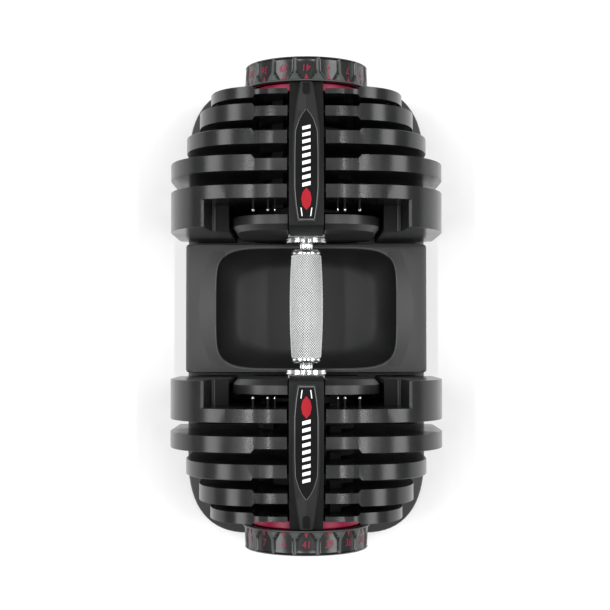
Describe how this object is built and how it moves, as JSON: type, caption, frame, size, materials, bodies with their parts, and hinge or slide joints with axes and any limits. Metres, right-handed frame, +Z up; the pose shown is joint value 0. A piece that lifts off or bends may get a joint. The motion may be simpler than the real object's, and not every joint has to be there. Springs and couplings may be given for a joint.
{
  "type": "adjustable dumbbell",
  "caption": "Selector dumbbell with stepped plates, a turning dial at each end and a chrome grip, standing in its storage tray.",
  "frame": {"origin": "bottom centre of the tray's feet, on the table", "axes": "+Z up, Y along the handle with the rear dial at +Y, X across"},
  "size_m": [0.248, 0.445, 0.2415],
  "materials": {
    "iron": "satin painted iron",
    "black_plastic": "satin moulded",
    "gloss_black": "gloss",
    "dial_plastic": "gloss, greenish black",
    "crimson": "satin crimson",
    "chrome": "polished, knurled on the grip",
    "steel": "brushed",
    "bronze": "sintered bearing bronze",
    "rubber": "matte",
    "tray_plastic": "fine grained moulded plastic"
  },
  "bodies": {
    "base": {"base_tray": "tray_plastic", "foot_front_left": "rubber", "foot_front_right": "rubber", "foot_rear_left": "rubber", "foot_rear_right": "rubber", "release_post_rear": "tray_plastic", "release_post_front": "tray_plastic"},
    "handle": {"handle_grip": "chrome", "centre_shaft": "steel", "grip_collar_rear": "chrome", "hand_guard_rear": "chrome", "end_bolt_rear": "steel", "bridge_frame_rear": "black_plastic", "bridge_cover_rear": "black_plastic", "label_rear": "gloss_black", "sleeve_bush_rear": "bronze", "lock_spring_rear": "steel", "index_disc_rear": "crimson", "grip_collar_front": "chrome", "hand_guard_front": "chrome", "end_bolt_front": "steel", "bridge_frame_front": "black_plastic", "bridge_cover_front": "black_plastic", "label_front": "gloss_black", "sleeve_bush_front": "bronze", "lock_spring_front": "steel", "index_disc_front": "crimson"},
    "dial_rear": {"dial_rear": "dial_plastic", "dial_cap_rear": "gloss_black", "selector_sleeve_rear": "steel", "lock_ring_rear": "steel", "selector_disc_1_rear": "black_plastic", "selector_disc_2_rear": "black_plastic", "selector_disc_3_rear": "black_plastic", "selector_disc_4_rear": "black_plastic", "selector_disc_5_rear": "black_plastic"},
    "lock_slide_rear": {"lock_slide_rear": "steel"},
    "plate_1_rear": {"plate_1_rear": "iron"},
    "plate_2_rear": {"plate_2_rear": "iron"},
    "plate_3_rear": {"plate_3_rear": "iron"},
    "plate_4_rear": {"plate_4_rear": "iron"},
    "plate_5_rear": {"plate_5_rear": "iron"},
    "plate_6_rear": {"plate_6_rear": "iron"},
    "dial_front": {"dial_front": "dial_plastic", "dial_cap_front": "gloss_black", "selector_sleeve_front": "steel", "lock_ring_front": "steel", "selector_disc_1_front": "black_plastic", "selector_disc_2_front": "black_plastic", "selector_disc_3_front": "black_plastic", "selector_disc_4_front": "black_plastic", "selector_disc_5_front": "black_plastic"},
    "lock_slide_front": {"lock_slide_front": "steel"},
    "plate_1_front": {"plate_1_front": "iron"},
    "plate_2_front": {"plate_2_front": "iron"},
    "plate_3_front": {"plate_3_front": "iron"},
    "plate_4_front": {"plate_4_front": "iron"},
    "plate_5_front": {"plate_5_front": "iron"},
    "plate_6_front": {"plate_6_front": "iron"}
  },
  "joints": [
    {"name": "handle_lift", "type": "slide", "parent": "base", "child": "handle", "axis": [0, 0, 1], "range_m": [0, 0.2]},
    {"name": "dial_rear_turn", "type": "hinge", "parent": "handle", "child": "dial_rear", "pos_m": [0, 0, 0.128], "axis": [0, 1, 0], "continuous": true},
    {"name": "plate_1_rear_lift", "type": "slide", "parent": "base", "child": "plate_1_rear", "axis": [0, 0, 1], "range_m": [0, 0.2]},
    {"name": "plate_2_rear_lift", "type": "slide", "parent": "base", "child": "plate_2_rear", "axis": [0, 0, 1], "range_m": [0, 0.2]},
    {"name": "plate_3_rear_lift", "type": "slide", "parent": "base", "child": "plate_3_rear", "axis": [0, 0, 1], "range_m": [0, 0.2]},
    {"name": "plate_4_rear_lift", "type": "slide", "parent": "base", "child": "plate_4_rear", "axis": [0, 0, 1], "range_m": [0, 0.2]},
    {"name": "plate_5_rear_lift", "type": "slide", "parent": "base", "child": "plate_5_rear", "axis": [0, 0, 1], "range_m": [0, 0.2]},
    {"name": "plate_6_rear_lift", "type": "slide", "parent": "base", "child": "plate_6_rear", "axis": [0, 0, 1], "range_m": [0, 0.2]},
    {"name": "lock_slide_rear_drop", "type": "slide", "parent": "handle", "child": "lock_slide_rear", "axis": [0, 0, -1], "range_m": [0, 0.00152]},
    {"name": "dial_front_turn", "type": "hinge", "parent": "handle", "child": "dial_front", "pos_m": [0, 0, 0.128], "axis": [0, 1, 0], "continuous": true},
    {"name": "plate_1_front_lift", "type": "slide", "parent": "base", "child": "plate_1_front", "axis": [0, 0, 1], "range_m": [0, 0.2]},
    {"name": "plate_2_front_lift", "type": "slide", "parent": "base", "child": "plate_2_front", "axis": [0, 0, 1], "range_m": [0, 0.2]},
    {"name": "plate_3_front_lift", "type": "slide", "parent": "base", "child": "plate_3_front", "axis": [0, 0, 1], "range_m": [0, 0.2]},
    {"name": "plate_4_front_lift", "type": "slide", "parent": "base", "child": "plate_4_front", "axis": [0, 0, 1], "range_m": [0, 0.2]},
    {"name": "plate_5_front_lift", "type": "slide", "parent": "base", "child": "plate_5_front", "axis": [0, 0, 1], "range_m": [0, 0.2]},
    {"name": "plate_6_front_lift", "type": "slide", "parent": "base", "child": "plate_6_front", "axis": [0, 0, 1], "range_m": [0, 0.2]},
    {"name": "lock_slide_front_drop", "type": "slide", "parent": "handle", "child": "lock_slide_front", "axis": [0, 0, -1], "range_m": [0, 0.00152]}
  ],
  "couplings": [
    {"joint": "plate_1_rear_lift", "follows": "handle_lift", "ratio": 1},
    {"joint": "plate_2_rear_lift", "follows": "handle_lift", "ratio": 1},
    {"joint": "plate_3_rear_lift", "follows": "handle_lift", "ratio": 1},
    {"joint": "plate_4_rear_lift", "follows": "handle_lift", "ratio": 1},
    {"joint": "plate_5_rear_lift", "follows": "handle_lift", "ratio": 1},
    {"joint": "plate_6_rear_lift", "follows": "handle_lift", "ratio": 1},
    {"joint": "lock_slide_rear_drop", "follows": "handle_lift", "ratio": 0.0075},
    {"joint": "plate_1_front_lift", "follows": "handle_lift", "ratio": 1},
    {"joint": "plate_2_front_lift", "follows": "handle_lift", "ratio": 1},
    {"joint": "plate_3_front_lift", "follows": "handle_lift", "ratio": 1},
    {"joint": "plate_4_front_lift", "follows": "handle_lift", "ratio": 1},
    {"joint": "plate_5_front_lift", "follows": "handle_lift", "ratio": 1},
    {"joint": "plate_6_front_lift", "follows": "handle_lift", "ratio": 1},
    {"joint": "lock_slide_front_drop", "follows": "handle_lift", "ratio": 0.0075}
  ]
}
